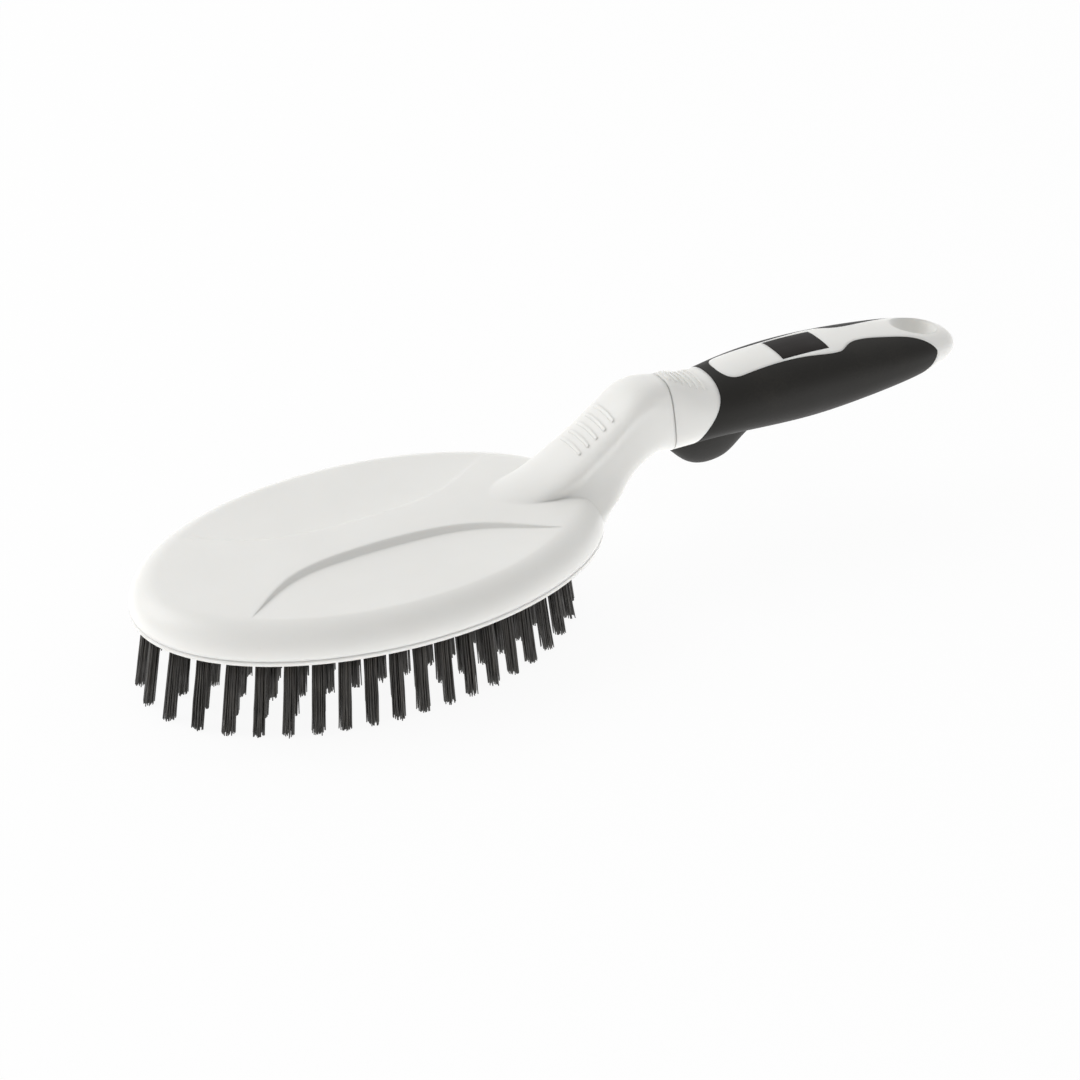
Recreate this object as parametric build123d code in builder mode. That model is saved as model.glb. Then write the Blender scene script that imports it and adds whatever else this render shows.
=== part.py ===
from build123d import *
import math
import os

os.makedirs("parts", exist_ok=True)

# Oval hand brush with a raised two-colour handle, standing on its bristle tips.
# X runs along the handle, Y across it and Z up. The origin lies on the surface that the
# bristles stand on, under the middle of the whole length.

# Overall sizes
head_length = 124.0
head_width = 77.2
bristle_length = 21.0
neck_reach = 81.6
neck_rise = 29.9
grip_length = 88.5
grip_width = 24.0
collar_gap = 0.35

# The head shell, heights counted from the plate's underside
crown_height = 10.1
crown_fall = 1.3
rim_round = 7.2
shell_wall = 2.4
cavity_height = 6.2
cavity_round_share = 0.9

# The shallow scoops beside the raised band
scoop_floor = 8.45
scoop_rise = 0.9
step_run = 1.4
relief_shares = (
    (-0.92, 0.95), (-0.84, 0.77), (-0.61, 0.456), (-0.42, 0.256), (-0.16, 0.174),
    (0.13, 0.174), (0.42, 0.272), (0.645, 0.487), (0.87, 0.632), (1.04, 0.69),
)
scoop_side_share = 0.62

# The bristle plate that closes the shell from below
plate_edge = 1.2
plate_seam = 0.1
plate_thickness = 3.6
spigot_gap = 0.15
peg_radius = 1.6
peg_length = 2.2
peg_gap = 0.05
boss_wall = 1.5
boss_root = 0.8
peg_shares = ((-0.72, 0.0), (-0.3, 0.58), (0.3, 0.58), (-0.3, -0.58), (0.3, -0.58), (0.66, 0.0))

# The tufts, in rings that follow the rim, with a straight row in the middle. They stand
# wider apart towards the ends of the ovals by the end share, and their tips stand further
# out than their roots by the splay share.
ring_tufts = (40, 34, 26, 20)
row_tufts = 7
ring_long = 53.2
ring_wide = 32.8
ring_pitch = 8.0
ring_shift = 3.8
tuft_end_share = 0.31
tuft_reach = 0.9
strand_width = 1.3
strands_per_tuft = 3
splay_share = 0.064
trim_depth = 0.5
backing_thickness = 0.8
backing_margin = 3.0
backing_gap = 0.15
staple_length = 2.4
staple_width = 0.45
staple_height = 1.5
staple_gap = 0.05

# Neck sections from the head to the collar. Each row gives the top point and the bottom
# point along and up, the half width of the cap and of the body under it, and how much of
# the ridged outline is left in it.
neck_half_width = 9.2
neck_section_shares = (
    (0.343, 0.291, 0.784, 0.030, 0.78, 1.685, 1.0),
    (0.463, 0.345, 0.799, 0.072, 0.88, 1.609, 1.0),
    (0.569, 0.431, 0.814, 0.116, 0.957, 1.445, 1.0),
    (0.652, 0.555, 0.833, 0.156, 0.967, 1.278, 1.0),
    (0.728, 0.689, 0.852, 0.227, 0.935, 1.162, 1.0),
    (0.804, 0.850, 0.884, 0.311, 0.902, 1.109, 1.0),
    (0.869, 0.993, 0.923, 0.371, 0.891, 1.076, 0.8),
    (0.938, 1.047, 0.962, 0.398, 0.870, 1.022, 0.45),
    (1.000, 1.030, 1.000, 0.403, 0.848, 0.952, 0.0),
)
neck_middle_share = 0.89
neck_widening_share = 0.24
neck_power_share = 3.2

# The ridged outline from its top round to its bottom: share of the cap's half width, share
# of the body's half width, level
ridge_shares = (
    (0.0, 0.0, 1.0), (0.30, 0.0, 0.985), (0.62, 0.0, 0.925), (0.87, 0.0, 0.82),
    (0.98, 0.0, 0.69), (0.99, 0.0, 0.51), (0.80, 0.20, 0.31), (0.42, 0.56, 0.06),
    (0.05, 0.93, -0.22), (0.0, 0.965, -0.48), (0.0, 0.78, -0.71), (0.0, 0.46, -0.92),
    (0.0, 0.0, -1.0),
)

# Handle sections from the collar to the tail: along, top, bottom, half width, widening
# towards the bottom, squareness.
grip_section_shares = (
    (0.000, 1.030, 0.405, 0.650, 0.27, 3.2),
    (0.044, 1.000, 0.405, 0.705, 0.22, 2.9),
    (0.089, 0.962, 0.405, 0.770, 0.17, 2.6),
    (0.139, 0.960, 0.401, 0.835, 0.12, 2.4),
    (0.213, 0.981, 0.389, 0.915, 0.06, 2.3),
    (0.336, 0.998, 0.371, 0.985, 0.0, 2.4),
    (0.472, 0.997, 0.366, 1.000, 0.0, 2.5),
    (0.605, 0.973, 0.388, 0.985, 0.0, 2.5),
    (0.736, 0.938, 0.417, 0.925, 0.0, 2.4),
    (0.833, 0.898, 0.453, 0.845, 0.0, 2.4),
    (0.908, 0.852, 0.493, 0.740, 0.0, 2.3),
    (0.963, 0.795, 0.537, 0.570, 0.0, 2.2),
    (0.992, 0.738, 0.585, 0.340, 0.0, 2.1),
    (1.000, 0.698, 0.622, 0.160, 0.0, 2.0),
)
section_points = 24

# The tongue of the neck and its socket in the handle
tongue_length = 15.0
tongue_width = 7.6
tongue_height = 9.5
tongue_height_share = 0.69
tongue_round = 1.2
tongue_gap = 0.15
snap_radius = 0.7
snap_share = 0.7

# The rubber skin of the handle: its thickness, its outline seen from the side and the
# white strip that it leaves open on top
rubber_thickness = 1.8
rubber_front_shares = (
    (0.150, 1.10), (0.148, 0.955), (0.144, 0.85), (0.134, 0.77), (0.115, 0.67),
    (0.082, 0.535), (0.061, 0.455), (0.031, 0.432), (0.003, 0.424),
)
rubber_rear_shares = (
    (0.742, 0.30), (0.776, 0.405), (0.820, 0.488), (0.858, 0.569), (0.884, 0.656),
    (0.893, 0.736), (0.880, 0.81), (0.838, 0.89), (0.787, 1.07),
)
rubber_floor_share = -0.2
strip_shares = (
    (0.180, 0.0), (0.184, 0.25), (0.196, 0.39), (0.214, 0.465), (0.245, 0.485),
    (0.366, 0.475), (0.465, 0.525), (0.545, 0.585),
)
strip_rear_shares = (
    (0.568, 0.565), (0.594, 0.455), (0.622, 0.362), (0.657, 0.336), (0.735, 0.40),
    (0.825, 0.52), (0.890, 0.73), (1.05, 1.25),
)
strip_floor_share = 0.70

# The finger guard under the collar, in rounded sections: along, bottom, half width
hook_section_shares = (
    (0.003, 0.402, 0.16), (0.026, 0.322, 0.30), (0.054, 0.240, 0.40), (0.085, 0.162, 0.47),
    (0.114, 0.120, 0.505), (0.145, 0.103, 0.52), (0.175, 0.106, 0.515), (0.208, 0.130, 0.49),
    (0.236, 0.186, 0.46), (0.266, 0.262, 0.42), (0.297, 0.328, 0.38), (0.335, 0.400, 0.33),
)
hook_top_share = 0.56
hook_power_share = 2.2

# The bare inlay on the strip
badge_length = 14.0
badge_width = 10.0
badge_depth = 0.7
badge_start = 33.4
badge_gap = 0.05

# The hanging hole with its long dished mouth
hole_radius = 3.4
hole_place = 78.75
dish_long = 8.5
dish_wide = 6.4
dish_depth = 6.1
dish_rise = 2.0
dish_forward = 0.8

# Thin raised ribs: five rounded bars on the neck, six lines on the collar
neck_rib_count = 5
neck_rib_length = 9.6
neck_rib_width = 0.6
neck_rib_height = 0.3
neck_rib_shares = (0.685, 0.800)
neck_rib_root_share = 0.4
collar_rib_count = 6
collar_rib_width = 0.65
collar_rib_height = 0.4
collar_rib_start = 1.1
collar_rib_pitch = 1.72
collar_rib_reach_shares = (0.21, 0.47)

# Overrun of every cut past the face that it opens
overrun = 5.0

# Values worked out from the sizes above
half_length = head_length / 2
half_width = head_width / 2
handle_end = neck_reach + collar_gap + grip_length
head_x = (half_length - handle_end) / 2
shell_base = plate_edge + plate_seam
crown_edge = crown_height - crown_fall
cavity_edge = cavity_height - crown_fall / 2
cavity_round = cavity_round_share * (cavity_edge - plate_thickness)
head_plane = Plane((head_x, 0, bristle_length))
side_plane = Plane((head_x, 0, bristle_length), x_dir=(1, 0, 0), z_dir=(0, -1, 0))
collar_x = neck_reach + collar_gap


def head_level(height):
    # A level plane through the head's middle, at a height above the plate's underside
    return head_plane.offset(height)


def barrel(middle, edge):
    # A closed solid whose face above or below the rim is curved along and across
    fall = middle - edge
    long_radius = (half_length ** 2 + fall ** 2) / (2 * fall)
    wide_radius = (half_width ** 2 + fall ** 2) / (2 * abs(fall))
    side = math.copysign(1, fall)
    reach = head_length
    drop = abs(long_radius) - math.sqrt(long_radius ** 2 - reach ** 2)
    axis_height = middle - side * wide_radius
    with BuildPart() as body:
        with BuildSketch(side_plane):
            with BuildLine():
                ThreePointArc(
                    (-reach, middle - side * drop), (0, middle), (reach, middle - side * drop)
                )
                Polyline(
                    (reach, middle - side * drop), (reach, axis_height),
                    (-reach, axis_height), (-reach, middle - side * drop),
                )
            make_face()
        revolve(axis=Axis(side_plane.from_local_coords((0, axis_height, 0)), (1, 0, 0)))
    return body.part


def dome(inset, base, middle, edge, rounding):
    # An oval block with a crowned top and a rounded shoulder
    with BuildPart() as body:
        with BuildSketch(head_level(base)):
            Ellipse(half_length - inset, half_width - inset)
        extrude(amount=middle - base + overrun)
        add(barrel(middle, edge), mode=Mode.INTERSECT)
        fillet(body.edges().group_by(Axis.Z)[-1], rounding)
    return body.part


def plain_ring(half_wide, widening, power):
    # Points of a closed outline, out and level, wider towards its bottom by the widening
    points = []
    for step in range(section_points):
        turn = 2 * math.pi * step / section_points
        across = math.cos(turn)
        up = math.sin(turn)
        reach = (abs(across) ** power + abs(up) ** power) ** (-1 / power)
        level = up * reach
        points.append((across * reach * (half_wide - widening * level), level))
    return points


def ridge_ring(cap_wide, body_wide):
    # Points in the same order for a narrow cap over a wider body
    points = []
    for step in range(section_points):
        from_top = (step + section_points // 4) % section_points - section_points // 2
        cap_share, body_share, level = ridge_shares[abs(from_top)]
        across = cap_share * cap_wide + body_share * body_wide
        points.append((-math.copysign(across, from_top), level))
    return points


def section_between(low, high, ring):
    # The face inside a ring whose bottom and top points are given in the side view
    middle = side_plane.from_local_coords(((low[0] + high[0]) / 2, (low[1] + high[1]) / 2, 0))
    rise = Vector(high[0] - low[0], 0, high[1] - low[1])
    plane = Plane(middle, x_dir=(0, 1, 0), z_dir=Vector(0, 1, 0).cross(rise))
    with BuildSketch(plane) as section:
        with BuildLine():
            Spline(*[(out, level * rise.length / 2) for out, level in ring], periodic=True)
        make_face()
    return section.sketch


def neck_form():
    sections = []
    for top_x, top_z, low_x, low_z, cap, body, ridge in neck_section_shares:
        body_wide = body * neck_half_width
        plain = plain_ring(
            neck_middle_share * body_wide, neck_widening_share * body_wide, neck_power_share
        )
        ridged = ridge_ring(cap * neck_half_width, body_wide)
        ring = [
            (ridge * out + (1 - ridge) * side, ridge * up + (1 - ridge) * level)
            for (out, up), (side, level) in zip(ridged, plain)
        ]
        low = (low_x * neck_reach, low_z * neck_rise)
        sections.append(section_between(low, (top_x * neck_reach, top_z * neck_rise), ring))
    with BuildPart() as neck_body:
        loft(sections=sections)
    return neck_body.part


def grip_form(inset):
    # The handle's outer form, or the same form drawn in all round
    sections = []
    for along, top, low, wide, widening, power in grip_section_shares:
        x = collar_x + along * grip_length
        high = top * neck_rise - inset
        bottom = low * neck_rise + inset
        half_wide = wide * grip_width / 2 - inset
        if high <= bottom or half_wide <= 0:
            continue
        ring = plain_ring(half_wide, widening * half_wide, power)
        sections.append(section_between((x, bottom), (x, high), ring))
    with BuildPart() as body:
        loft(sections=sections)
    return body.part


def grip_points(shares):
    # Points of the side view, along and up the handle
    return [(collar_x + along * grip_length, up * neck_rise) for along, up in shares]


# Raised band with a slanted step: the scoops beside it are cut from the full dome
def scoop_outline(level, step_out):
    points = [(x * half_length, y * half_width + step_out) for x, y in relief_shares]
    side = scoop_side_share * head_width
    with BuildSketch(head_level(level)) as outline:
        with BuildLine():
            Spline(*points)
            Polyline(points[-1], (points[-1][0], side), (points[0][0], side), points[0])
        make_face()
    return outline.sketch


with BuildPart() as scoop:
    loft(
        sections=[scoop_outline(scoop_floor - scoop_rise, step_run),
                  scoop_outline(crown_height + crown_fall, -step_run)],
        ruled=True,
    )
    add(barrel(scoop_floor, scoop_floor + scoop_rise), mode=Mode.INTERSECT)
    mirror(about=Plane.XZ)

tongue_middle = tongue_height_share * neck_rise
tongue_plane = Plane(
    side_plane.from_local_coords((neck_reach, tongue_middle, 0)), x_dir=(0, -1, 0), z_dir=(1, 0, 0)
)


def tongue_form(gap):
    # The neck's tongue, or its socket when the gap is added all round
    with BuildPart() as body:
        with BuildSketch(tongue_plane.offset(-overrun)):
            RectangleRounded(tongue_width + 2 * gap, tongue_height + 2 * gap, tongue_round + gap)
        extrude(amount=overrun + tongue_length + gap)
        snap_at = side_plane.from_local_coords(
            (neck_reach + snap_share * tongue_length, tongue_middle + tongue_height / 2, 0)
        )
        with BuildSketch(Plane(snap_at, x_dir=(1, 0, 0), z_dir=(0, -1, 0))):
            Circle(snap_radius + gap)
        extrude(amount=tongue_width / 2 - tongue_round, both=True)
    return body.part


neck = neck_form()
grip = grip_form(0)
peg_places = [(x * half_length, y * half_width) for x, y in peg_shares]

# The bars are cut one by one from a copy of the neck that is lifted by their height
with BuildPart() as neck_ribs:
    first_share, last_share = neck_rib_shares
    for rib in range(neck_rib_count):
        share = first_share + (last_share - first_share) * rib / (neck_rib_count - 1)
        with BuildPart(mode=Mode.PRIVATE) as bar:
            with BuildSketch(head_level(neck_rib_root_share * neck_rise)):
                with Locations((share * neck_reach, 0)):
                    SlotOverall(neck_rib_length, neck_rib_width, rotation=90)
            extrude(amount=neck_rise)
            with Locations((-neck_rib_height, 0, neck_rib_height)):
                add(neck, mode=Mode.INTERSECT)
        add(bar.part)

with BuildPart() as head_shell:
    add(dome(0, shell_base, crown_height, crown_edge, rim_round))
    add(scoop.part, mode=Mode.SUBTRACT)
    add(neck)
    split(bisect_by=head_level(shell_base), keep=Keep.TOP)
    add(neck_ribs.part)
    add(
        dome(shell_wall, shell_base - overrun, cavity_height, cavity_edge, cavity_round),
        mode=Mode.SUBTRACT,
    )
    with BuildSketch(head_level(plate_thickness)):
        with Locations(*peg_places):
            Circle(peg_radius + peg_gap + boss_wall)
    extrude(amount=cavity_height - plate_thickness + boss_root)
    with BuildSketch(head_level(shell_base)):
        with Locations(*peg_places):
            Circle(peg_radius + peg_gap)
    extrude(amount=plate_thickness + peg_length + peg_gap - shell_base, mode=Mode.SUBTRACT)
    add(tongue_form(0))

head_shell.part.label = "head_shell"
export_step(head_shell.part, "parts/head_shell.step")


# Places along an oval, the first at its front end
def oval_places(long_half, wide_half, count):
    steps = 1440
    turns = [2 * math.pi * step / steps for step in range(steps + 1)]
    dots = [(-long_half * math.cos(t), wide_half * math.sin(t)) for t in turns]
    travelled = [0]
    for here, there, turn in zip(dots, dots[1:], turns):
        pitch_share = 1 + tuft_end_share * math.cos(turn) ** 4
        travelled.append(travelled[-1] + math.dist(here, there) / pitch_share)
    places = []
    step = 0
    for tuft in range(count):
        while travelled[step] < travelled[-1] * tuft / count:
            step += 1
        places.append(dots[step])
    return places


ring_plane = Plane(head_plane.from_local_coords((-ring_shift, 0, 0)))
ring_count = len(ring_tufts)
tuft_groups = [
    oval_places(ring_long - ring * ring_pitch, ring_wide - ring * ring_pitch, count)
    for ring, count in enumerate(ring_tufts)
]
row_half = ring_long - ring_count * ring_pitch
tuft_groups.append(
    [(row_half * (2 * tuft / (row_tufts - 1) - 1), 0) for tuft in range(row_tufts)]
)
tuft_places = [place for group in tuft_groups for place in group]


def backing_outline(ring, gap):
    # Half sizes of the oval round one ring of tufts
    margin = backing_margin if ring == 0 else ring_pitch / 2
    return (
        ring_long - ring * ring_pitch + margin - gap,
        ring_wide - ring * ring_pitch + margin - gap,
    )


def tuft_strands(place):
    # A few square strands round one hole, leaning outwards and cut off past their tips
    x, y = place
    length = bristle_length + trim_depth
    lean = splay_share * length / bristle_length
    strands = []
    for strand in range(strands_per_tuft):
        turn = 2 * math.pi * strand / strands_per_tuft
        root = (x + tuft_reach * math.cos(turn), y + tuft_reach * math.sin(turn))
        with BuildSketch(ring_plane) as square:
            with Locations(root):
                Rectangle(strand_width, strand_width)
        fall = Vector(lean * root[0], lean * root[1], -length)
        strands.append(extrude(square.sketch, amount=fall.length, dir=fall, mode=Mode.PRIVATE))
    return strands


ring_names = ["outer", "second", "third", "inner", "middle"]
for ring, places in enumerate(tuft_groups):
    with BuildPart() as bristle_ring:
        with BuildSketch(ring_plane):
            Ellipse(*backing_outline(ring, backing_gap))
            if ring < ring_count:
                Ellipse(*backing_outline(ring + 1, 0), mode=Mode.SUBTRACT)
        extrude(amount=backing_thickness)
        add([strand for place in places for strand in tuft_strands(place)])
        split(bisect_by=Plane.XY, keep=Keep.TOP)
    bristle_ring.part.label = "bristles_" + ring_names[ring]
    export_step(bristle_ring.part, "parts/bristles_" + ring_names[ring] + ".step")

staple_plane = Plane(ring_plane.from_local_coords((0, 0, backing_thickness)))

# Flat staples that hold the folded tufts in the plate
with BuildPart() as tuft_staples:
    with BuildSketch(staple_plane):
        with Locations(*tuft_places):
            Rectangle(staple_length, staple_width)
    extrude(amount=staple_height)

tuft_staples.part.label = "tuft_staples"
export_step(tuft_staples.part, "parts/tuft_staples.step")

with BuildPart() as bristle_plate:
    with BuildSketch(head_plane):
        Ellipse(half_length, half_width)
    extrude(amount=plate_edge)
    with BuildSketch(head_level(plate_edge)):
        Ellipse(half_length - shell_wall - spigot_gap, half_width - shell_wall - spigot_gap)
    extrude(amount=plate_thickness - plate_edge)
    with BuildSketch(head_level(plate_thickness)):
        with Locations(*peg_places):
            Circle(peg_radius)
    extrude(amount=peg_length)
    with BuildSketch(ring_plane):
        Ellipse(*backing_outline(0, 0))
    extrude(amount=backing_thickness, mode=Mode.SUBTRACT)
    with BuildSketch(staple_plane):
        with Locations(*tuft_places):
            Rectangle(staple_length + 2 * staple_gap, staple_width + 2 * staple_gap)
    extrude(amount=staple_height + staple_gap, mode=Mode.SUBTRACT)

bristle_plate.part.label = "bristle_plate"
export_step(bristle_plate.part, "parts/bristle_plate.step")

# The space of the rubber: everything inside the side view, but not the white strip
with BuildPart() as rubber_zone:
    with BuildSketch(side_plane):
        with BuildLine():
            front = Spline(*grip_points(rubber_front_shares))
            rear = Spline(*grip_points(rubber_rear_shares))
            floor = rubber_floor_share * neck_rise
            Polyline(front @ 1, ((front @ 1).X, floor), ((rear @ 0).X, floor), rear @ 0)
            Line(rear @ 1, front @ 0)
        make_face()
    extrude(amount=grip_width, both=True)
    with BuildSketch(head_level(strip_floor_share * neck_rise)):
        with BuildLine():
            strip = [
                (collar_x + along * grip_length, out * grip_width / 2)
                for along, out in strip_shares + strip_rear_shares
            ]
            edge = Spline(*strip)
            Line(edge @ 1, ((edge @ 1).X, 0))
            mirror(about=Plane.XZ)
        make_face()
    extrude(amount=neck_rise, mode=Mode.SUBTRACT)

hook_sections = []
for along, low, wide in hook_section_shares:
    x = collar_x + along * grip_length
    ring = plain_ring(wide * grip_width / 2, 0, hook_power_share)
    bottom = (x, low * neck_rise)
    hook_sections.append(section_between(bottom, (x, (2 * hook_top_share - low) * neck_rise), ring))

with BuildPart() as hook:
    loft(sections=hook_sections)
    split(bisect_by=head_level(hook_top_share * neck_rise), keep=Keep.BOTTOM)

with BuildPart() as rubber_grip:
    add(grip)
    add(hook.part)
    add(rubber_zone.part, mode=Mode.INTERSECT)
    add(grip_form(rubber_thickness), mode=Mode.SUBTRACT)

rubber_grip.part.label = "rubber_grip"
export_step(rubber_grip.part, "parts/rubber_grip.step")

badge_skin = grip_form(badge_depth)


def badge_form(gap):
    # A slice of the handle's own surface, so that the inlay follows its crown
    with BuildPart() as body:
        with BuildSketch(head_level(strip_floor_share * neck_rise)):
            with Locations((collar_x + badge_start + badge_length / 2, 0)):
                Rectangle(badge_length + 2 * gap, badge_width + 2 * gap)
        extrude(amount=neck_rise)
        add(grip, mode=Mode.INTERSECT)
        add(badge_skin, mode=Mode.SUBTRACT)
    return body.part


with BuildPart() as badge:
    add(badge_form(0))

badge.part.label = "badge"
export_step(badge.part, "parts/badge.step")

with BuildPart() as collar_ribs:
    for rib in range(collar_rib_count):
        share = rib / (collar_rib_count - 1)
        narrow_share, wide_share = collar_rib_reach_shares
        reach = (narrow_share + (wide_share - narrow_share) * share) * grip_width
        with BuildSketch(head_level(strip_floor_share * neck_rise)):
            with Locations((collar_x + collar_rib_start + rib * collar_rib_pitch, 0)):
                SlotOverall(reach, collar_rib_width, rotation=90)
        extrude(amount=neck_rise)
    with Locations((0, 0, collar_rib_height)):
        add(grip, mode=Mode.INTERSECT)

hole_x = collar_x + hole_place
dish_mouth = grip_section_shares[9][1] * neck_rise

with BuildPart() as handle_core:
    add(grip)
    add(rubber_grip.part, mode=Mode.SUBTRACT)
    add(collar_ribs.part)
    add(badge_form(badge_gap), mode=Mode.SUBTRACT)
    add(tongue_form(tongue_gap), mode=Mode.SUBTRACT)
    with BuildSketch(head_level(0)):
        with Locations((hole_x, 0)):
            Circle(hole_radius)
    extrude(amount=neck_rise, mode=Mode.SUBTRACT)
    with BuildSketch(head_level(dish_mouth - dish_depth)):
        with Locations((hole_x, 0)):
            Circle(hole_radius)
    with BuildSketch(head_level(dish_mouth + dish_rise)):
        with Locations((hole_x - dish_forward, 0)):
            Ellipse(dish_long, dish_wide)
    loft(mode=Mode.SUBTRACT)

handle_core.part.label = "handle_core"
export_step(handle_core.part, "parts/handle_core.step")
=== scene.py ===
import math
import random
import bpy
from mathutils import Matrix, Vector


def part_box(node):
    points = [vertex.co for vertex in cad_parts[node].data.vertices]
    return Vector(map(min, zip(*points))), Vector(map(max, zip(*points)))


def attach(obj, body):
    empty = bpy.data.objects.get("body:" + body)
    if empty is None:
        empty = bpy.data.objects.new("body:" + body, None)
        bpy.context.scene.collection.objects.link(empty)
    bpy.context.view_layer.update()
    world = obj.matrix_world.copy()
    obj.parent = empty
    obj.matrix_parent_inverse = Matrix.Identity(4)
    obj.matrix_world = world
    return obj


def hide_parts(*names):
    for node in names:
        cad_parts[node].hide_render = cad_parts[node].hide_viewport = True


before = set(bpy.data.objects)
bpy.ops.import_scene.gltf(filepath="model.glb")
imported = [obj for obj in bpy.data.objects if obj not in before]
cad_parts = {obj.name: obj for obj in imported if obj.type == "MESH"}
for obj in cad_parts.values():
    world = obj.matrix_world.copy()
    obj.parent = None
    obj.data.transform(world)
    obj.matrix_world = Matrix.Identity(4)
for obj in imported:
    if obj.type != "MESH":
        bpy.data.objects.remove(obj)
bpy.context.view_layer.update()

# Oval hand brush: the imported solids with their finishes, and the tufts as fine filaments.
# Metres, +X along the handle, +Z up, standing on the bristle tips.

mm = 0.001
chance = 11              # seed of the small differences between filaments and tufts
random.seed(chance)

plateLow, plateHigh = (Vector(corner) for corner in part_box("bristle_plate"))
headCentre = Vector(((plateLow.x + plateHigh.x) / 2, 0, plateLow.z))   # under the plate
body = "root"


def deselectAll():
    bpy.ops.object.select_all(action="DESELECT")


# Camera

cameraView = {
    "azimuth": -29.63,      # degrees, from straight on the near side
    "elevation": 31.30,
    "roll": 0.288,
    "distance": 800 * mm,   # from the head's centre, along the view
    "aside": 41.25 * mm,    # from that line, across the view and up it
    "above": 6.06 * mm,
    "lens": 108.93,         # focal length and sensor width, in Blender's own millimetres
    "sensor": 36.0,
    "nearest": 10 * mm,     # nothing closer than this is drawn
}


def aimCamera():
    azimuth, elevation, roll = (
        math.radians(cameraView[key]) for key in ("azimuth", "elevation", "roll")
    )
    right = Vector((math.cos(azimuth), math.sin(azimuth), 0))
    back = Vector((
        math.sin(azimuth) * math.cos(elevation),
        -math.cos(azimuth) * math.cos(elevation),
        math.sin(elevation),
    ))
    up = back.cross(right)
    across = math.cos(roll) * right + math.sin(roll) * up
    rise = math.cos(roll) * up - math.sin(roll) * right
    place = (
        headCentre + cameraView["aside"] * across + cameraView["above"] * rise
        + cameraView["distance"] * back
    )
    bpy.ops.object.camera_add()
    camera = bpy.context.object
    camera.name = "photoCamera"
    camera.matrix_world = Matrix((
        (across.x, rise.x, back.x, place.x),
        (across.y, rise.y, back.y, place.y),
        (across.z, rise.z, back.z, place.z),
        (0, 0, 0, 1),
    ))
    camera.data.lens = cameraView["lens"]
    camera.data.sensor_width = cameraView["sensor"]
    camera.data.clip_start = cameraView["nearest"]
    bpy.context.scene.camera = camera


aimCamera()
print("camera aimed")


# Shader maths

class Wire:
    # The output of a node, so that shader maths reads as a sum
    def __init__(self, paint, socket):
        self.paint = paint
        self.socket = socket

    def maths(self, operation, first, second):
        return self.paint.add("ShaderNodeMath", {"operation": operation}, {0: first, 1: second})

    def __add__(self, other):
        return self.maths("ADD", self, other)

    def __sub__(self, other):
        return self.maths("SUBTRACT", self, other)

    def __rsub__(self, other):
        return self.maths("SUBTRACT", other, self)

    def __mul__(self, other):
        return self.maths("MULTIPLY", self, other)

    def size(self):
        return self.maths("ABSOLUTE", self, 0)

    def isAbove(self, limit):
        return self.maths("GREATER_THAN", self, limit)

    def orElse(self, other):
        return self.maths("MAXIMUM", self, other)


class Paint:
    # The nodes of one material, or of the world
    def __init__(self, holder):
        self.holder = holder
        self.holder.use_nodes = True
        self.tree = self.holder.node_tree
        self.tree.nodes.clear()

    def add(self, kind, settings=None, feeds=None, output=0):
        node = self.tree.nodes.new(kind)
        for key, value in (settings or {}).items():
            if key == "stops":
                for stop, (position, grey) in zip(node.color_ramp.elements, value):
                    stop.position = position
                    stop.color = (grey, grey, grey, 1)
            else:
                setattr(node, key, value)
        for key, value in (feeds or {}).items():
            if isinstance(value, Wire):
                self.tree.links.new(value.socket, node.inputs[key])
            else:
                node.inputs[key].default_value = value
        if output is not None:
            return Wire(self, node.outputs[output])

    def objectPlace(self, stretch=(1, 1, 1)):
        place = self.add("ShaderNodeTexCoord", output="Object")
        return self.add("ShaderNodeMapping", {}, {"Vector": place, "Scale": stretch})

    def noise(self, place, scale, detail, roughness):
        return self.add(
            "ShaderNodeTexNoise", {},
            {"Vector": place, "Scale": scale, "Detail": detail, "Roughness": roughness},
        )

    def ramp(self, fac, low, high):
        # Black up to the low level, white from the high one
        stops = ((low, 0.0), (high, 1.0))
        return self.add("ShaderNodeValToRGB", {"stops": stops}, {"Fac": fac})

    def mix(self, fac, first, second):
        # Inputs 6 and 7 and output 2 are the mix node's colours
        return self.add(
            "ShaderNodeMix", {"data_type": "RGBA"}, {0: fac, 6: first, 7: second}, output=2
        )

    def mixVector(self, fac, first, second):
        # Inputs 4 and 5 and output 1 are its vectors
        return self.add(
            "ShaderNodeMix", {"data_type": "VECTOR"}, {0: fac, 4: first, 5: second}, output=1
        )

    def rounding(self, radius, samples):
        return self.add("ShaderNodeBevel", {"samples": samples}, {"Radius": radius})

    def bump(self, height, distance, strength, below=None):
        feeds = {"Height": height, "Distance": distance, "Strength": strength}
        if below:
            feeds["Normal"] = below
        return self.add("ShaderNodeBump", {}, feeds)

    def finish(self, shader, end="ShaderNodeOutputMaterial"):
        self.add(end, {}, {"Surface": shader}, output=None)
        return self.holder


def rgb(red, green, blue):
    return (red, green, blue, 1)


# Finishes. A noise is given by its scale, detail and roughness, and a band by the two levels of
# a noise between which something comes in.

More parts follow.
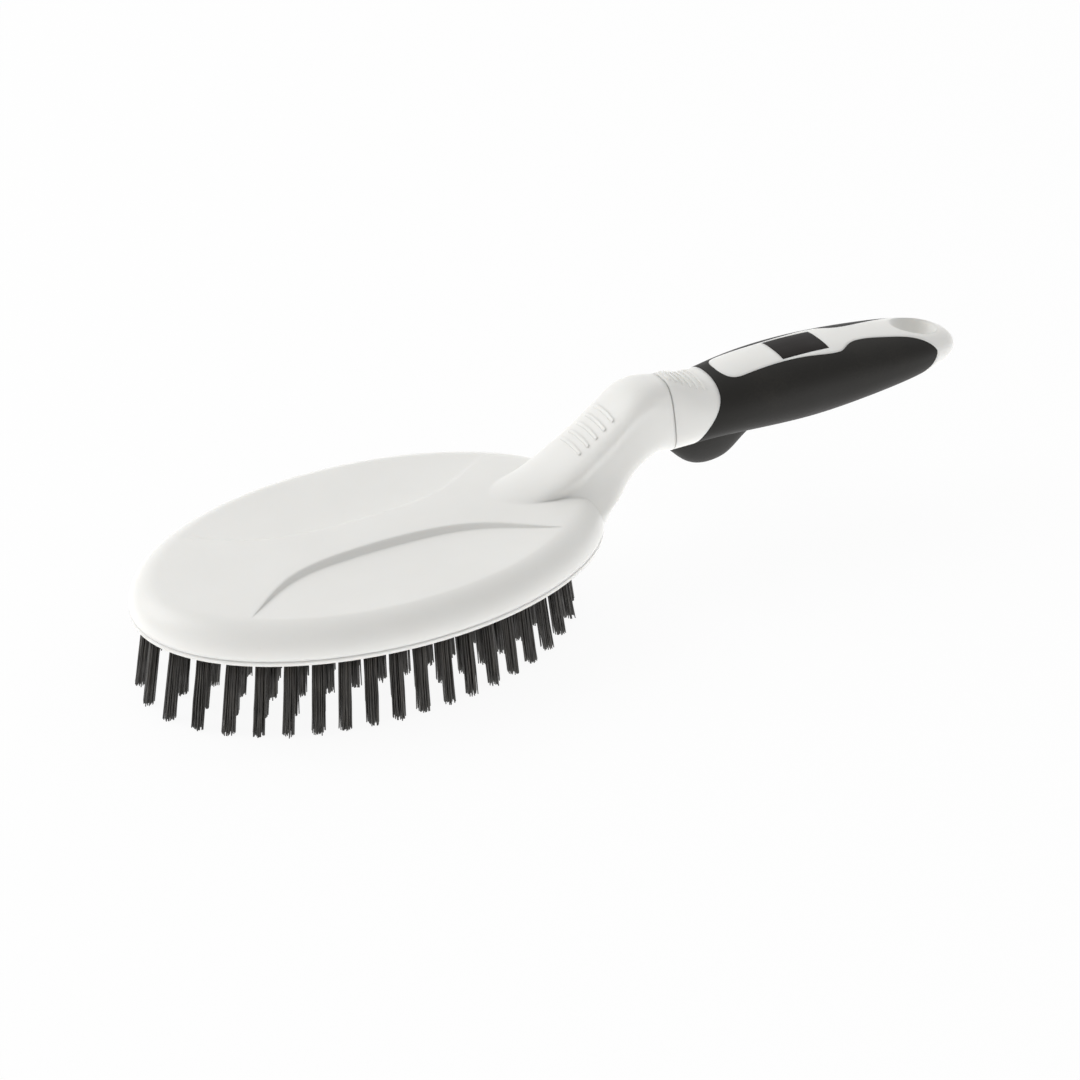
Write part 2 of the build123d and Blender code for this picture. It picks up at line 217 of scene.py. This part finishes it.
whitePlastic = {
    "colour": rgb(0.79, 0.785, 0.76),
    "shade": rgb(0.75, 0.745, 0.72),      # in the faint clouds of the moulding
    "clouds": (38, 3.0, 0.5),
    "cloudBand": (0.35, 0.7),
    "cloudShare": 0.6,
    "flow": (60, 4.0, 0.6),
    "flowStretch": (1, 3, 3),             # so that the flow marks lie along the handle
    "flowShare": 0.25,
    "speckColour": rgb(0.6, 0.58, 0.54),
    "specks": (900, 1.0, 0.5),
    "speckBand": (0.70, 0.78),
    "speckShare": 0.06,
    "leastRoughness": 0.29,
    "flowRoughness": 0.10,                # added where the flow marks and the grain are full
    "grainRoughness": 0.05,
    "grain": (1500, 3.0, 0.6),
    "grainDepth": 0.02 * mm,
    "grainStrength": 0.22,
    "softRadius": 1.7 * mm,         # how wide the moulded edges look rounded
    "softSamples": 8,
    "crispRadius": 0.15 * mm,       # the same on the raised ribs
    "crispSamples": 6,
    "ribStart": 0.0,                # where the ribs begin and end, along X
    "ribEnd": 0.0,
    "index": 1.49,
    "milkiness": 0.35,              # how much light spreads under the skin
    "spreadDepth": 1.2 * mm,        # and how far, with the reach of each colour
    "spreadReach": (1.0, 0.9, 0.8),
}


def makeWhitePlastic(name, values):
    paint = Paint(bpy.data.materials.new(name))
    place = paint.objectPlace()
    clouds = paint.ramp(paint.noise(place, *values["clouds"]), *values["cloudBand"])
    flow = paint.noise(paint.objectPlace(values["flowStretch"]), *values["flow"])
    grain = paint.noise(place, *values["grain"])
    specks = paint.ramp(paint.noise(place, *values["specks"]), *values["speckBand"])
    shading = clouds * values["cloudShare"] + flow * values["flowShare"]
    colour = paint.mix(shading, values["colour"], values["shade"])
    colour = paint.mix(specks * values["speckShare"], colour, values["speckColour"])
    rough = flow * values["flowRoughness"] + grain * values["grainRoughness"]
    soft = paint.rounding(values["softRadius"], values["softSamples"])
    crisp = paint.rounding(values["crispRadius"], values["crispSamples"])
    middle = (values["ribStart"] + values["ribEnd"]) / 2
    reach = (values["ribEnd"] - values["ribStart"]) / 2
    along = paint.add("ShaderNodeSeparateXYZ", {}, {"Vector": place}, "X")
    onRibs = (reach - (along - middle).size()).isAbove(0)
    rounded = paint.mixVector(onRibs, soft, crisp)
    shader = paint.add("ShaderNodeBsdfPrincipled", {}, {
        "Base Color": colour,
        "Roughness": rough + values["leastRoughness"],
        "Normal": paint.bump(grain, values["grainDepth"], values["grainStrength"], rounded),
        "IOR": values["index"],
        "Subsurface Weight": values["milkiness"],
        "Subsurface Radius": values["spreadReach"],
        "Subsurface Scale": values["spreadDepth"],
    })
    return paint.finish(shader)


gripRubber = {
    "colour": rgb(0.0115, 0.0105, 0.0088),
    "dust": rgb(0.036, 0.033, 0.028),
    "clouds": (70, 4.0, 0.6),
    "grain": (1700, 2.0, 0.5),
    "pitScale": 1300,
    "dustClouds": 0.7,           # how far the dust follows the clouds, and the grain
    "dustGrain": 0.3,
    "dustBand": (0.50, 0.75),
    "dustShare": 0.35,
    "leastRoughness": 0.48,
    "cloudRoughness": 0.16,      # added where the clouds and the grain are full
    "grainRoughness": 0.08,
    "grainHeight": 0.5,          # how far the relief follows the grain, and the pits
    "pitHeight": 0.5,
    "grainDepth": 0.05 * mm,
    "grainStrength": 0.5,
    "index": 1.47,
    "gloss": 0.32,
}


def makeGripRubber(name, values):
    paint = Paint(bpy.data.materials.new(name))
    place = paint.objectPlace()
    clouds = paint.noise(place, *values["clouds"])
    grain = paint.noise(place, *values["grain"])
    pits = paint.add(
        "ShaderNodeTexVoronoi", {"feature": "F1"},
        {"Vector": place, "Scale": values["pitScale"]}, "Distance",
    )
    dust = paint.ramp(
        clouds * values["dustClouds"] + grain * values["dustGrain"], *values["dustBand"]
    )
    rough = clouds * values["cloudRoughness"] + grain * values["grainRoughness"]
    height = grain * values["grainHeight"] + pits * values["pitHeight"]
    shader = paint.add("ShaderNodeBsdfPrincipled", {}, {
        "Base Color": paint.mix(dust * values["dustShare"], values["colour"], values["dust"]),
        "Roughness": rough + values["leastRoughness"],
        "Normal": paint.bump(height, values["grainDepth"], values["grainStrength"]),
        "IOR": values["index"],
        "Specular IOR Level": values["gloss"],
    })
    return paint.finish(shader)


badgeInlay = {
    "colour": rgb(0.0045, 0.0025, 0.0018),
    "sheen": rgb(0.010, 0.006, 0.0045),
    "clouds": (260, 3.0, 0.5),
    "cloudShare": 0.5,
    "lines": (4000, 2.0, 0.5),
    "lineStretch": (0.04, 1, 1),     # brushed along the handle
    "leastRoughness": 0.38,
    "lineRoughness": 0.12,           # added where the lines and the clouds are full
    "cloudRoughness": 0.10,
    "lineDepth": 0.01 * mm,
    "lineStrength": 0.3,
    "index": 1.5,
    "gloss": 0.16,
}


def makeBadgeInlay(name, values):
    paint = Paint(bpy.data.materials.new(name))
    lines = paint.noise(paint.objectPlace(values["lineStretch"]), *values["lines"])
    clouds = paint.noise(paint.objectPlace(), *values["clouds"])
    rough = lines * values["lineRoughness"] + clouds * values["cloudRoughness"]
    shader = paint.add("ShaderNodeBsdfPrincipled", {}, {
        "Base Color": paint.mix(clouds * values["cloudShare"], values["colour"], values["sheen"]),
        "Roughness": rough + values["leastRoughness"],
        "Normal": paint.bump(lines, values["lineDepth"], values["lineStrength"]),
        "IOR": values["index"],
        "Specular IOR Level": values["gloss"],
    })
    return paint.finish(shader)


bristleNylon = {
    "colour": rgb(0.0145, 0.0128, 0.0105),
    "worn": rgb(0.056, 0.049, 0.040),     # the paler filaments of a tuft
    "streaks": (1500, 2.0, 0.7),
    "streakStretch": (1, 1, 0.03),        # down the filaments
    "paleBand": (0.48, 0.72),
    "paleShare": 0.7,
    "scuff": (500, 3.0, 0.5),
    "scuffShare": 0.15,
    "leastRoughness": 0.30,
    "scuffRoughness": 0.18,
    "scuffDepth": 0.02 * mm,
    "scuffStrength": 0.3,
    "index": 1.53,
    "gloss": 0.38,
}


def makeBristleNylon(name, values):
    paint = Paint(bpy.data.materials.new(name))
    streaks = paint.noise(paint.objectPlace(values["streakStretch"]), *values["streaks"])
    scuff = paint.noise(paint.objectPlace(), *values["scuff"])
    pale = paint.ramp(streaks, *values["paleBand"])
    wear = pale * values["paleShare"] + scuff * values["scuffShare"]
    shader = paint.add("ShaderNodeBsdfPrincipled", {}, {
        "Base Color": paint.mix(wear, values["colour"], values["worn"]),
        "Roughness": scuff * values["scuffRoughness"] + values["leastRoughness"],
        "Normal": paint.bump(scuff, values["scuffDepth"], values["scuffStrength"]),
        "IOR": values["index"],
        "Specular IOR Level": values["gloss"],
    })
    return paint.finish(shader)


stapleWire = {
    "colour": rgb(0.60, 0.60, 0.61),
    "dull": rgb(0.42, 0.42, 0.43),
    "lines": (3000, 2.0, 0.5),
    "lineStretch": (0.1, 1, 1),
    "leastRoughness": 0.25,
    "lineRoughness": 0.2,
    "lineDepth": 0.01 * mm,
    "lineStrength": 0.3,
}


def makeStapleWire(name, values):
    paint = Paint(bpy.data.materials.new(name))
    lines = paint.noise(paint.objectPlace(values["lineStretch"]), *values["lines"])
    shader = paint.add("ShaderNodeBsdfPrincipled", {}, {
        "Base Color": paint.mix(lines, values["colour"], values["dull"]),
        "Roughness": lines * values["lineRoughness"] + values["leastRoughness"],
        "Metallic": 1.0,
        "Normal": paint.bump(lines, values["lineDepth"], values["lineStrength"]),
    })
    return paint.finish(shader)


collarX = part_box("handle_core")[0][0]
shellWhite = dict(whitePlastic, ribStart=collarX - 28 * mm, ribEnd=collarX - 14 * mm)
handleWhite = dict(
    whitePlastic, grain=(1700, 3.0, 0.6), ribStart=collarX, ribEnd=collarX + 11 * mm
)
plateWhite = dict(whitePlastic, leastRoughness=0.37)

shellFinish = makeWhitePlastic("shellWhite", shellWhite)
coreFinish = makeWhitePlastic("handleWhite", handleWhite)
plateFinish = makeWhitePlastic("plateWhite", plateWhite)
rubberFinish = makeGripRubber("gripRubber", gripRubber)
inlayFinish = makeBadgeInlay("badgeInlay", badgeInlay)
nylonFinish = makeBristleNylon("bristleNylon", bristleNylon)
stapleFinish = makeStapleWire("stapleWire", stapleWire)


def paintNode(node, material):
    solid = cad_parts[node]
    for holder in solid.material_slots:
        holder.material = material
    if not solid.material_slots:
        solid.data.materials.append(material)


for node, material in (
    ("head_shell", shellFinish),
    ("bristle_plate", plateFinish),
    ("handle_core", coreFinish),
    ("rubber_grip", rubberFinish),
    ("badge", inlayFinish),
    ("tuft_staples", stapleFinish),
):
    paintNode(node, material)
print("finishes made")


# Tufts

tufts = {
    "rings": (40, 34, 26, 20),       # tufts in each oval, from the rim inwards
    "row": 7,                        # tufts in the middle row
    "ringLong": 53.2 * mm,
    "ringWide": 32.8 * mm,
    "ringPitch": 8.0 * mm,
    "ringShift": 3.8 * mm,           # of the rings' middle, away from the handle
    "ringSteps": 1440,               # points tried round an oval for the tufts' places
    "endSpread": 0.31,               # how much wider the tufts stand at the ovals' ends
    "endPower": 4,                   # the higher, the nearer to the ends this stays
    "splay": 0.064,                  # how far the tips lean out, as a share of their place
    "filaments": 46,
    "kinds": 6,                      # different tufts that are copied
    "filamentKinds": 5,              # different filaments that a tuft is made of
    "filamentSides": 5,
    "filamentSpans": 3,              # straight lengths in each
    "filamentRadius": 0.195 * mm,
    "tipTaper": 0.72,
    "holeRadius": 1.36 * mm,
    "goldenAngle": 2.39996,          # from each filament to the next, in radians
    "turnSpread": 0.25,              # off that angle, by chance
    "tipSpread": 0.12,               # how far the tips lean out, as a share of the hole's radius
    "leanRange": (0.4, 1.0),         # of that lean, by chance
    "drift": 0.14 * mm,              # of each tip, by chance
    "curl": 0.09 * mm,               # of each filament between its ends
    "unevenness": 0.8 * mm,          # of the cut tips
    "sunk": 0.6 * mm,                # roots above the plate's underside
}


def makeFilament(length, sideways):
    # One filament from its root at the origin downwards, tapered at its tip
    deselectAll()
    bpy.ops.mesh.primitive_circle_add(
        vertices=tufts["filamentSides"], radius=tufts["filamentRadius"], fill_type="NGON",
        location=(0, 0, 0),
    )
    filament = bpy.context.object
    bpy.ops.object.mode_set(mode="EDIT")
    bpy.ops.mesh.select_all(action="SELECT")
    for slip in sideways:
        bpy.ops.mesh.extrude_region_move(
            TRANSFORM_OT_translate={"value": (slip[0], slip[1], -length / len(sideways))}
        )
    bpy.ops.transform.resize(value=(tufts["tipTaper"], tufts["tipTaper"], 1))
    bpy.ops.mesh.select_all(action="SELECT")
    bpy.ops.mesh.normals_make_consistent(inside=False)
    bpy.ops.object.mode_set(mode="OBJECT")
    bpy.ops.object.shade_smooth()
    return filament


def copyMesh(source, matrix):
    copy = source.copy()
    copy.data = source.data.copy()
    copy.data.transform(matrix)
    bpy.context.collection.objects.link(copy)
    return copy


def joinAs(name, objects):
    deselectAll()
    for each in objects:
        each.select_set(True)
    bpy.context.view_layer.objects.active = objects[0]
    bpy.ops.object.join()
    joined = bpy.context.object
    joined.name = name
    joined.data.name = name
    return joined


def makeTuft(templates, length):
    # A round bundle: filaments on a sunflower spread, each leaning a little outwards
    strands = []
    count = tufts["filaments"]
    for number in range(count):
        share = math.sqrt((number + 0.5) / count)
        turn = number * tufts["goldenAngle"]
        turn += random.uniform(-tufts["turnSpread"], tufts["turnSpread"])
        reach = tufts["holeRadius"] * share
        out = Vector((math.cos(turn), math.sin(turn), 0))
        cut = random.uniform(0, tufts["unevenness"])
        stretch = (length - cut) / length
        lean = reach * tufts["tipSpread"] * random.uniform(*tufts["leanRange"])
        drift = Vector((random.gauss(0, tufts["drift"]), random.gauss(0, tufts["drift"]), 0))
        slide = (out * lean + drift) / length
        shear = Matrix((
            (1, 0, -slide.x, out.x * reach),
            (0, 1, -slide.y, out.y * reach),
            (0, 0, stretch, 0),
            (0, 0, 0, 1),
        ))
        spin = Matrix.Rotation(random.uniform(0, 2 * math.pi), 4, "Z")
        strands.append(copyMesh(random.choice(templates), shear @ spin))
    return joinAs("tuftPattern", strands)


def ovalPlaces(longHalf, wideHalf, count):
    # Places round an oval, a little wider apart at its ends, from the end away from the handle
    steps = tufts["ringSteps"]
    turns = [2 * math.pi * step / steps for step in range(steps + 1)]
    dots = [(-longHalf * math.cos(turn), wideHalf * math.sin(turn)) for turn in turns]
    travelled = [0]
    for here, there, turn in zip(dots, dots[1:], turns):
        spread = 1 + tufts["endSpread"] * math.cos(turn) ** tufts["endPower"]
        travelled.append(travelled[-1] + math.dist(here, there) / spread)
    places = []
    step = 0
    for number in range(count):
        while travelled[step] < travelled[-1] * number / count:
            step += 1
        places.append(dots[step])
    return places


def tuftGroups():
    # The ovals from the rim inwards, and the middle row
    groups = []
    for ring, count in enumerate(tufts["rings"]):
        inward = ring * tufts["ringPitch"]
        groups.append(ovalPlaces(tufts["ringLong"] - inward, tufts["ringWide"] - inward, count))
    half = tufts["ringLong"] - len(tufts["rings"]) * tufts["ringPitch"]
    last = tufts["row"] - 1
    groups.append([(half * (2 * number / last - 1), 0) for number in range(tufts["row"])])
    return groups


ringMiddle = headCentre - Vector((tufts["ringShift"], 0, 0))
freeLength = headCentre.z
wholeLength = freeLength + tufts["sunk"]
templates = []
for kind in range(tufts["filamentKinds"]):
    slips = [
        (random.gauss(0, tufts["curl"]), random.gauss(0, tufts["curl"]))
        for span in range(tufts["filamentSpans"])
    ]
    templates.append(makeFilament(wholeLength, slips))
patterns = [makeTuft(templates, wholeLength) for kind in range(tufts["kinds"])]

groupNames = ("Outer", "Second", "Third", "Inner", "Middle")
groups = tuftGroups()
for groupName, places in zip(groupNames, groups):
    copies = []
    for x, y in places:
        # The tuft leans away from the middle as a whole
        slide = Vector((x, y, 0)) * tufts["splay"] / freeLength
        shear = Matrix((
            (1, 0, -slide.x, ringMiddle.x + x),
            (0, 1, -slide.y, ringMiddle.y + y),
            (0, 0, 1, ringMiddle.z + tufts["sunk"]),
            (0, 0, 0, 1),
        ))
        spin = Matrix.Rotation(random.uniform(0, 2 * math.pi), 4, "Z")
        copies.append(copyMesh(random.choice(patterns), shear @ spin))
    ring = joinAs("tufts" + groupName, copies)
    ring.data.materials.clear()
    ring.data.materials.append(nylonFinish)
    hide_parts("bristles_" + groupName.lower())
    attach(ring, body)
for pattern in templates + patterns:
    bpy.data.objects.remove(pattern)
print("tufts made", sum(len(places) for places in groups))


# The white bed that the tufts come out of

tuftBed = {
    "margin": 2.95 * mm,         # round the outer ring
    "edgeSteps": 160,
    "top": 0.75 * mm,            # above the plate's underside
    "recess": 0.15 * mm,         # of the bed's own underside, above the plate's
    "collarRadius": 1.95 * mm,   # the moulded ring round each tuft
    "collarHeight": 0.3 * mm,
    "collarSides": 14,
    "lipWidth": 0.18 * mm,       # the ring's flat edge, and the slope inside it
    "slopeWidth": 0.2 * mm,
    "slopeDepth": 0.2 * mm,
    "downward": -0.9,            # normals below this belong to the underside
    "smoothAngle": 40,           # degrees
}


def makeBedPlate():
    deselectAll()
    bpy.ops.mesh.primitive_circle_add(
        vertices=tuftBed["edgeSteps"], radius=1, fill_type="NGON",
        location=(ringMiddle.x, 0, ringMiddle.z + tuftBed["top"]),
    )
    plate = bpy.context.object
    plate.scale = (
        tufts["ringLong"] + tuftBed["margin"], tufts["ringWide"] + tuftBed["margin"], 1
    )
    bpy.ops.object.transform_apply(location=True, rotation=True, scale=True)
    bpy.ops.object.mode_set(mode="EDIT")
    bpy.ops.mesh.select_all(action="SELECT")
    bpy.ops.mesh.extrude_region_move(
        TRANSFORM_OT_translate={"value": (0, 0, tuftBed["recess"] - tuftBed["top"])}
    )
    bpy.ops.mesh.select_all(action="SELECT")
    bpy.ops.mesh.normals_make_consistent(inside=False)
    bpy.ops.object.mode_set(mode="OBJECT")
    return plate


def makeTuftCollar():
    # A short disc at the origin whose underside is dished inside a flat edge
    deselectAll()
    bpy.ops.mesh.primitive_cylinder_add(
        vertices=tuftBed["collarSides"], radius=tuftBed["collarRadius"],
        depth=tuftBed["collarHeight"], end_fill_type="NGON",
        location=(0, 0, tuftBed["collarHeight"] / 2),
    )
    collar = bpy.context.object
    bpy.ops.object.transform_apply(location=True, rotation=True, scale=True)
    bpy.ops.object.mode_set(mode="EDIT")
    bpy.ops.mesh.select_mode(type="FACE")
    bpy.ops.mesh.select_all(action="DESELECT")
    bpy.ops.object.mode_set(mode="OBJECT")
    for face in collar.data.polygons:
        face.select = face.normal.z < tuftBed["downward"]
    bpy.ops.object.mode_set(mode="EDIT")
    bpy.ops.mesh.inset(thickness=tuftBed["lipWidth"])
    bpy.ops.mesh.inset(thickness=tuftBed["slopeWidth"])
    bpy.ops.transform.translate(value=(0, 0, tuftBed["slopeDepth"]))
    bpy.ops.object.mode_set(mode="OBJECT")
    bpy.ops.object.shade_smooth_by_angle(angle=math.radians(tuftBed["smoothAngle"]))
    return collar


def makeTuftBed():
    parts = [makeBedPlate()]
    collar = makeTuftCollar()
    for places in groups:
        for x, y in places:
            spot = Matrix.Translation((ringMiddle.x + x, ringMiddle.y + y, ringMiddle.z))
            parts.append(copyMesh(collar, spot))
    bpy.data.objects.remove(collar)
    return joinAs("tuftBed", parts)


bedPiece = makeTuftBed()
bedPiece.data.materials.clear()
bedPiece.data.materials.append(plateFinish)
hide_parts(*["bristles_" + groupName.lower() for groupName in groupNames])
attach(bedPiece, body)
print("tuft bed made")


# Floor, backdrop colour and lights

studio = {
    "white": rgb(1, 1, 1),
    "floorSize": 12.0,
    "floorColour": rgb(0.90, 0.90, 0.90),
    "floorShade": rgb(0.86, 0.86, 0.86),
    "floorClouds": (30, 3.0, 0.5),
    "shadeShare": 0.1,
    "floorRoughness": 0.9,
    "floorGlow": 0.92,               # how much of the floor's own white the lens sees
    "tableGlow": 0.95,               # and how much of it lights the undersides
    "brightSide": (0.05, 0.97, 0.24),    # towards the brighter side of the room
    "worldBright": 1.08,             # strength from that side, and from the one across
    "worldDim": 0.37,
    "keyPower": 8.5,                 # powers are in watts
    "keySize": 1.1,
    "keyPlace": (-1.00, 0.72, 1.02),
    "fillPower": 0.2,
    "fillSize": 1.0,
    "fillPlace": (0.35, -1.2, 0.75),
    "middle": (0, 0, 0.03),          # of the brush, where the softboxes point
    "tablePower": 1.6,               # the light table under the object
    "tableSize": 1.0,
    "tablePlace": (0, 0, 0.5 * mm),
    "overhead": (0, 0, 1),
}


def makeFloor():
    deselectAll()
    bpy.ops.mesh.primitive_plane_add(size=studio["floorSize"], location=(0, 0, 0))
    floor = bpy.context.object
    floor.name = "floor"
    paint = Paint(bpy.data.materials.new("floorWhite"))
    seen = paint.add("ShaderNodeLightPath", output="Is Camera Ray")
    shine = paint.add("ShaderNodeLightPath", output="Is Glossy Ray")
    through = paint.add("ShaderNodeLightPath", output="Is Transmission Ray")
    soft = paint.noise(paint.objectPlace(), *studio["floorClouds"])
    shade = paint.mix(soft * studio["shadeShare"], studio["floorColour"], studio["floorShade"])
    matt = paint.add(
        "ShaderNodeBsdfPrincipled", {},
        {"Base Color": shade, "Roughness": studio["floorRoughness"]},
    )
    white = paint.add("ShaderNodeEmission", {}, {"Color": studio["white"], "Strength": 1.0})
    shown = seen.orElse(shine).orElse(through)
    glow = shown * (studio["floorGlow"] - studio["tableGlow"]) + studio["tableGlow"]
    shader = paint.add("ShaderNodeMixShader", {}, {0: glow, 1: matt, 2: white})
    floor.data.materials.append(paint.finish(shader))


def lightWorld():
    # Brighter from one side than from the other, and plain white behind the floor
    world = bpy.data.worlds.new("studioWorld")
    bpy.context.scene.world = world
    paint = Paint(world)
    direction = paint.add("ShaderNodeTexCoord", output="Generated")
    facing = paint.add(
        "ShaderNodeVectorMath", {"operation": "DOT_PRODUCT"},
        {0: direction, 1: studio["brightSide"]}, "Value",
    )
    rise = (studio["worldBright"] - studio["worldDim"]) / 2
    strength = facing * rise + (studio["worldDim"] + rise)
    soft = paint.add(
        "ShaderNodeBackground", {}, {"Color": studio["white"], "Strength": strength}
    )
    white = paint.add("ShaderNodeBackground", {}, {"Color": studio["white"], "Strength": 1.0})
    seen = paint.add("ShaderNodeLightPath", output="Is Camera Ray")
    shader = paint.add("ShaderNodeMixShader", {}, {0: seen, 1: soft, 2: white})
    paint.finish(shader, "ShaderNodeOutputWorld")


def addSoftbox(name, place, size, power, target):
    bpy.ops.object.light_add(type="AREA", location=place)
    lamp = bpy.context.object
    lamp.name = name
    lamp.data.size = size
    lamp.data.energy = power
    towards = Vector(target) - Vector(place)
    lamp.rotation_euler = towards.to_track_quat("-Z", "Y").to_euler()
    lamp.visible_camera = False


makeFloor()
lightWorld()
addSoftbox(
    "keySoftbox", studio["keyPlace"], studio["keySize"], studio["keyPower"], studio["middle"]
)
addSoftbox(
    "fillSoftbox", studio["fillPlace"], studio["fillSize"], studio["fillPower"], studio["middle"]
)
addSoftbox(
    "lightTable", studio["tablePlace"], studio["tableSize"], studio["tablePower"],
    studio["overhead"],
)
bpy.context.scene.view_settings.view_transform = "Standard"
print("studio lit")
